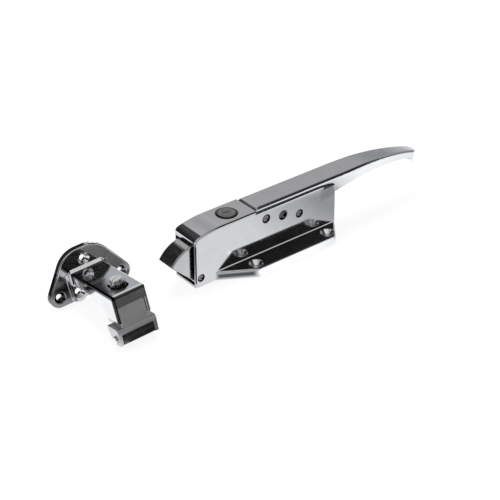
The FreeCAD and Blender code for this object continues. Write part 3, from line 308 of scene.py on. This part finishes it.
lockLook = dict(
    chromeLook, grainScale=(500.0, 500.0, 500.0), cloudScale=260.0, roughLow=0.2, roughHigh=0.3,
    # Painted shadow ring round the lock's face
    edgeRadius=0.0002, pinFaces=[(-0.0599, 0.0, 0.0089, True)], rimShadeTone=0.2,
    darkTone=(0.18, 0.18, 0.18), lightTone=(0.38, 0.38, 0.38), wearAndSheenTone=(0.7, 0.7, 0.7))


rollerLook = {
    "dark": (0.004, 0.004, 0.0045), "scuffed": (0.016, 0.016, 0.017), "scuffFrom": 0.4, "scuffTo": 0.75,
    "grainScale": 700.0, "grainNoise": {"Detail": 4.0, "Roughness": 0.7},
    "grainStrength": 0.35, "grainDepth": 0.0002,
    "scuffScale": 90.0, "scuffNoise": {"Detail": 5.0, "Distortion": 1.2},
    "roughFrom": 0.35, "roughTo": 0.75, "roughLow": 0.3, "roughHigh": 0.5}


def rubberMaterial(name, look):
    material, tree = newMaterial(name)
    place = addNode(tree, "ShaderNodeTexCoord").outputs["Object"]
    grain = noise(tree, place, look["grainScale"], look["grainNoise"])
    scuffs = noise(tree, place, look["scuffScale"], look["scuffNoise"])
    colour = colourRamp(tree, scuffs, [(look["scuffFrom"], look["dark"]), (look["scuffTo"], look["scuffed"])])
    roughness = spread(tree, scuffs, look["roughFrom"], look["roughTo"], look["roughLow"], look["roughHigh"])
    bump = addNode(tree, "ShaderNodeBump", {"Height": grain, "Strength": look["grainStrength"],
                                            "Distance": look["grainDepth"]})
    shader = addNode(tree, "ShaderNodeBsdfPrincipled", {"Base Color": colour, "Roughness": roughness,
                                                        "Normal": bump.outputs["Normal"]})
    addNode(tree, "ShaderNodeOutputMaterial", {"Surface": shader.outputs["BSDF"]})
    return material


finishes = {
    "chrome": metalMaterial("polishedPlating", housingLook),
    "handle": metalMaterial("brushedPlating", handleLook),
    "bolt": metalMaterial("boltPlating", boltLook),
    "strike": metalMaterial("strikePlating", strikeLook),
    "satin": metalMaterial("satinCasting", satinLook),
    "pin": metalMaterial("zincSteel", pinLook),
    "screw": metalMaterial("brightSteel", screwLook),
    "spring": metalMaterial("springWire", springLook),
    "brass": metalMaterial("turnedBrass", brassLook),
    "lock": metalMaterial("lockPlating", lockLook),
    "roller": rubberMaterial("hardBlackRubber", rollerLook),
}
# Every node that isn't named here has the finish of the pins
nodeFinish = {
    "latch_housing": "chrome", "handle": "handle", "bolt": "bolt",
    "lock_barrel": "lock", "lock_plug": "lock", "lock_nut": "brass",
    "strike_base": "strike", "strike_slider": "satin", "strike_roller": "roller", "strike_roller_pin": "screw",
    "strike_screw": "screw", "strike_tooth_washer": "screw", "strike_spacer_nut": "screw",
    "strike_flat_washer": "screw"}
print("materials made")


# Smooth shading on curved faces only, with flat faces kept truly flat in the reflections
smoothing = {"maxAngle": math.radians(32), "weldDistance": 0.000002, "flatWeight": 100}


def smoothGroup(maxAngle):
    group = bpy.data.node_groups.new("smoothByAngle", "GeometryNodeTree")
    for side in ("INPUT", "OUTPUT"):
        group.interface.new_socket("Geometry", in_out=side, socket_type="NodeSocketGeometry")
    start = addNode(group, "NodeGroupInput").outputs["Geometry"]
    angle = addNode(group, "GeometryNodeInputMeshEdgeAngle").outputs["Unsigned Angle"]
    larger = addNode(group, "FunctionNodeCompare", {"A": angle, "B": maxAngle},
                     data_type="FLOAT", operation="GREATER_THAN").outputs["Result"]
    allSmooth = addNode(group, "GeometryNodeSetShadeSmooth", {"Geometry": start}, domain="FACE")
    sharpEdges = {"Geometry": allSmooth.outputs["Geometry"], "Selection": larger, "Shade Smooth": False}
    sharp = addNode(group, "GeometryNodeSetShadeSmooth", sharpEdges, domain="EDGE")
    addNode(group, "NodeGroupOutput", {"Geometry": sharp.outputs["Geometry"]})
    return group


def smoothPiece(piece, group, look):
    weld = piece.modifiers.new("weld", "WELD")
    weld.merge_threshold = look["weldDistance"]
    smooth = piece.modifiers.new("smooth", "NODES")
    smooth.node_group = group
    weighted = piece.modifiers.new("weighted", "WEIGHTED_NORMAL")
    weighted.keep_sharp = True
    weighted.weight = look["flatWeight"]


smoothNodes = smoothGroup(smoothing["maxAngle"])
for name, piece in nodes.items():
    piece.data.materials.clear()
    piece.data.materials.append(finishes[nodeFinish.get(name, "pin")])
    smoothPiece(piece, smoothNodes, smoothing)
print("frame pieces dressed")


def newObject(name, data, place=(0, 0, 0), turn=None):
    made = bpy.data.objects.new(name, data)
    bpy.context.scene.collection.objects.link(made)
    made.location = place
    if turn is not None:
        made.rotation_mode = "QUATERNION"
        made.rotation_quaternion = turn
    return made


# A round wire along points in millimetres
def wirePiece(name, points, look, finish):
    curve = bpy.data.curves.new(name, "CURVE")
    curve.dimensions = "3D"
    curve.bevel_depth = look["wireRadius"] / 1000
    curve.bevel_resolution = look["wireSides"]
    curve.use_fill_caps = True
    line = curve.splines.new("POLY")
    line.points.add(len(points) - 1)
    for point, place in zip(line.points, points):
        point.co = (place[0] / 1000, place[1] / 1000, place[2] / 1000, 1)
    drawn = newObject(name + "Line", curve)
    bpy.context.view_layer.update()
    mesh = bpy.data.meshes.new_from_object(drawn.evaluated_get(bpy.context.evaluated_depsgraph_get()))
    bpy.data.objects.remove(drawn)
    for face in mesh.polygons:
        face.use_smooth = True
    mesh.materials.clear()
    mesh.materials.append(finish)
    return newObject(name, mesh)


# The coil round the bolt's pin, in millimetres and degrees; the legs' ends are given from the pin
boltSpring = {"pinX": -103.9, "pinZ": 9.6, "coilRadius": 5.6, "wireRadius": 0.7, "turns": 6, "pitch": 1.75,
              "ribX": 20.5, "ribZ": -6.1, "insideX": -17.74, "insideZ": 13.22, "step": 9, "heldEnd": 1.2,
              "wireSides": 4}


def makeSpring(look):
    low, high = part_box("bolt_spring")

    # Where a leg to this place leaves the coil
    def leaveAngle(x, z):
        distance = math.hypot(x, z)
        return math.atan2(z, x) - math.acos(look["coilRadius"] / distance)

    fixed = leaveAngle(look["ribX"], look["ribZ"])
    moving = leaveAngle(look["insideX"], look["insideZ"])
    turned = (moving - fixed) % (2 * math.pi)
    sweep = look["turns"] * 2 * math.pi + turned
    height = sweep / (2 * math.pi) * look["pitch"]
    points = [(look["ribX"], height / 2, look["ribZ"])]
    steps = int(sweep / math.radians(look["step"]))
    for step in range(steps + 1):
        angle = fixed + sweep * step / steps
        points.append((look["coilRadius"] * math.cos(angle), height / 2 - height * step / steps,
                       look["coilRadius"] * math.sin(angle)))
    points.append((look["insideX"], -height / 2, look["insideZ"]))
    places = [(look["pinX"] + x, y, look["pinZ"] + z) for x, y, z in points]
    piece = wirePiece("springCoil", places, look, finishes["spring"])
    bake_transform(piece)
    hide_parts("bolt_spring")
    print("solid spring from", [round(v * 1000, 1) for v in low], "to", [round(v * 1000, 1) for v in high])
    print("line of the coil from", [round(min(along), 1) for along in zip(*places)],
          "to", [round(max(along), 1) for along in zip(*places)])


makeSpring(boltSpring)
print("spring made")


# Painted reflection: tones that the floor glows with for the metal's mirror rays, each an axis, two places on it
# in metres, and the tones there
floorLook = {
    "paperTone": 0.88, "cameraWhite": 0.9, "width": 12.0, "drop": 0.0004, "mirrorColour": (0.97, 0.98, 1.0, 1),
    "wallFall": ("X", 0.0, 0.09, 1.0, 0.45),         # falls off towards the rear
    "tipRise": ("X", 0.116, 0.13, 0.0, 1.0),         # bright again under the handle's grip
    "tipGain": ("X", 0.12, 0.17, 0.0, 0.5),          # and brighter under its tip
    "frontRise": ("Y", -0.088, -0.0865, 1.0, 0.0),   # bright in front of the latch
    "leftGain": ("X", -0.215, -0.207, 0.42, 0.0),    # brighter left of the strike
    "besideGain": ("Y", -0.0505, -0.048, 0.0, 0.7),  # brighter near the wall, between the next two
    "besideStart": ("X", -0.049, -0.045, 0.0, 1.0),
    "besideEnd": ("X", 0.052, 0.06, 1.0, 0.0),
    # Greyer in a box before the bolt
    "boltLow": (-0.19, -0.0165, -0.01), "boltHigh": (-0.1115, 0.07, 0.01), "boltTone": 0.7}


# The floor is lit paper; the camera sees it whiter, and the metal sees a painted reflection, the floor's own
# glowing tones
def floorMaterial(look):
    material, tree = newMaterial("paleFloor")
    rays = addNode(tree, "ShaderNodeLightPath").outputs
    place = addNode(tree, "ShaderNodeTexCoord").outputs["Object"]
    parts = splitUp(tree, place)

    def strip(name):
        axis, *numbers = look[name]
        return spread(tree, parts[axis], *numbers)

    tone = maths(tree, "MAXIMUM", strip("wallFall"), strip("tipRise"))
    tone = maths(tree, "ADD", tone, strip("tipGain"))
    tone = maths(tree, "MAXIMUM", tone, strip("frontRise"))
    tone = dimmed(tree, tone, insideBox(tree, place, look["boltLow"], look["boltHigh"]), look["boltTone"])
    tone = maths(tree, "ADD", tone, strip("leftGain"))
    beside = maths(tree, "MULTIPLY", strip("besideStart"), strip("besideEnd"))
    tone = maths(tree, "ADD", tone, maths(tree, "MULTIPLY", strip("besideGain"), beside))
    paper = addNode(tree, "ShaderNodeBsdfDiffuse", {"Color": (look["paperTone"],) * 3 + (1,)}).outputs[0]
    white = addNode(tree, "ShaderNodeEmission", {"Color": (1, 1, 1, 1), "Strength": 1.0}).outputs[0]
    mirrored = addNode(tree, "ShaderNodeEmission", {"Color": look["mirrorColour"], "Strength": tone}).outputs[0]
    whiter = maths(tree, "MULTIPLY", rays["Is Camera Ray"], look["cameraWhite"])
    lifted = addNode(tree, "ShaderNodeMixShader", {"Fac": whiter, 1: paper, 2: white}).outputs[0]
    shiny = maths(tree, "MAXIMUM", rays["Is Glossy Ray"], rays["Is Transmission Ray"])
    shader = addNode(tree, "ShaderNodeMixShader", {"Fac": shiny, 1: lifted, 2: mirrored}).outputs[0]
    addNode(tree, "ShaderNodeOutputMaterial", {"Surface": shader})
    return material


def sheetMesh(name, width, height):
    mesh = bpy.data.meshes.new(name)
    x, y = width / 2, height / 2
    mesh.from_pydata([(-x, -y, 0), (x, -y, 0), (x, y, 0), (-x, y, 0)], [], [(0, 1, 2, 3)])
    return mesh


def makeFloor(look):
    mesh = sheetMesh("floorSheet", look["width"], look["width"])
    mesh.materials.append(floorMaterial(look))
    floor = newObject("floorSheet", mesh, (0, 0, -look["drop"]))


makeFloor(floorLook)
print("floor made")

# The room that the metal mirrors: greys by the sine of the elevation, at the back, the front and left of each
roomLook = {
    "backTones": [(0.0, 0.75), (0.12, (0.62, 0.64, 0.68)), (0.26, (0.42, 0.43, 0.46)), (0.35, (0.3, 0.305, 0.32)),
                  (0.41, 0.42), (0.45, 0.56), (0.475, 0.54), (0.5, 0.4), (0.525, 0.62), (0.6, 0.5), (0.66, 0.05),
                  (0.9, 0.05), (1.0, 0.5)],
    "backLeftTones": [(0.0, 0.8), (0.3, (0.62, 0.66, 0.72)), (0.53, 0.57), (0.66, 0.55), (0.71, 0.66),
                      (0.77, 0.72), (0.82, 0.06), (1.0, 0.06)],
    "frontTones": [(0.0, 0.9), (0.22, 0.9), (0.29, 0.015), (0.86, 0.015), (0.91, 0.9)],
    "frontLeftTones": [(0.0, 0.9), (0.22, 0.9), (0.29, 0.015), (0.68, 0.015), (0.71, 0.95)],
    "leftFrom": 0.33, "leftTo": 0.46, "backAxis": (0.1, 0.99, 0), "backFrom": -0.3, "backTo": 0.0,
    "mirrorLight": 1.0, "roomLight": 0.55, "cameraLight": 1.0}


def makeWorld(look):
    world = bpy.data.worlds.new("studioRoom")
    bpy.context.scene.world = world
    world.use_nodes = True
    tree = world.node_tree
    tree.nodes.clear()
    direction = addNode(tree, "ShaderNodeTexCoord").outputs["Generated"]
    parts = splitUp(tree, direction)
    back, backLeft, front, frontLeft = [colourRamp(tree, parts["Z"], look[side + "Tones"])
                                        for side in ("back", "backLeft", "front", "frontLeft")]
    toLeft = spread(tree, parts["X"], look["leftFrom"], look["leftTo"], 1.0, 0.0)
    toBack = spread(tree, vectorMaths(tree, "DOT_PRODUCT", direction, look["backAxis"], "Value"),
                    look["backFrom"], look["backTo"], 0.0, 1.0)
    room = mixed(tree, "RGBA", toBack, mixed(tree, "RGBA", toLeft, front, frontLeft),
                 mixed(tree, "RGBA", toLeft, back, backLeft))
    rays = addNode(tree, "ShaderNodeLightPath").outputs
    paleTone = (1, 1, 1, 1)
    backgrounds = [(room, look["mirrorLight"]), (paleTone, look["roomLight"]), (paleTone, look["cameraLight"])]
    glow, plain, white = [addNode(tree, "ShaderNodeBackground", {"Color": colour, "Strength": light}).outputs[0]
                          for colour, light in backgrounds]
    shiny = addNode(tree, "ShaderNodeMixShader", {"Fac": rays["Is Glossy Ray"], 1: plain, 2: glow}).outputs[0]
    final = addNode(tree, "ShaderNodeMixShader", {"Fac": rays["Is Camera Ray"], 1: shiny, 2: white}).outputs[0]
    addNode(tree, "ShaderNodeOutputWorld", {"Surface": final})


makeWorld(roomLook)
print("room made")

lamps = {"topLamp": {"place": (0.1, 0.5, 1.3), "target": (0, 0, 0), "size": 0.9, "power": 26.0},
         "leftLamp": {"place": (-1.2, 0.3, 0.9), "target": (0, 0, 0), "size": 0.7, "power": 9.0}}


def makeLamp(name, look):
    lamp = bpy.data.lights.new(name, "AREA")
    lamp.shape = "DISK"
    lamp.size = look["size"]
    lamp.energy = look["power"]
    turn = (Vector(look["place"]) - Vector(look["target"])).to_track_quat("Z", "Y")
    holder = newObject(name, lamp, look["place"], turn)
    # The metal sees the graded room and the cards only
    holder.visible_glossy = False


for name, look in lamps.items():
    makeLamp(name, look)

# Dark cards that only the metal sees: the left one stands behind the strike, the others lie on the floor,
# in front of both halves, far behind the strike and under the end of its arm
cards = {
    "leftCard": {"place": (-0.26, 0.21, 0.155), "facing": (0, -1, 0), "width": 0.29, "height": 0.3,
                 "tone": (0.02, 0.02, 0.022)},
    "floorCard": {"place": (-0.10, -0.27, 0.0004), "facing": (0, 0, 1), "width": 0.34, "height": 0.32,
                  "tone": (0.15, 0.15, 0.152)},
    "backCard": {"place": (-0.44, 0.41, 0.0004), "facing": (0, 0, 1), "width": 0.32, "height": 0.54,
                 "tone": (0.03, 0.03, 0.03)},
    "plateCard": {"place": (-0.166, -0.0635, 0.0004), "facing": (0, 0, 1), "width": 0.092, "height": 0.093,
                  "tone": (0.14, 0.14, 0.142)}}


def makeCard(name, look):
    material, tree = newMaterial(name + "Tone")
    glow = addNode(tree, "ShaderNodeEmission", {"Color": (*look["tone"], 1), "Strength": 1.0})
    addNode(tree, "ShaderNodeOutputMaterial", {"Surface": glow.outputs["Emission"]})
    mesh = sheetMesh(name, look["width"], look["height"])
    mesh.materials.append(material)
    card = newObject(name, mesh, look["place"], Vector(look["facing"]).to_track_quat("Z", "Y"))
    card.visible_camera = False
    card.visible_diffuse = False
    card.visible_shadow = False
    card.visible_transmission = False


for name, look in cards.items():
    makeCard(name, look)
print("lamps and cards made")

# The camera stands where the photograph was taken from
view = {"place": (-0.8193, -0.9845, 0.7991), "back": (-0.5289, -0.6604, 0.5330), "lens": 108.0, "sensor": 36.0,
        "nearest": 0.01, "farthest": 50.0}
camera = bpy.data.cameras.new("photoCamera")
camera.lens = view["lens"]
camera.sensor_width = view["sensor"]
camera.clip_start = view["nearest"]
camera.clip_end = view["farthest"]
cameraTurn = (-Vector(view["back"])).to_track_quat("-Z", "Y")
bpy.context.scene.camera = newObject("photoCamera", camera, view["place"], cameraTurn)
bpy.context.scene.view_settings.view_transform = "Standard"
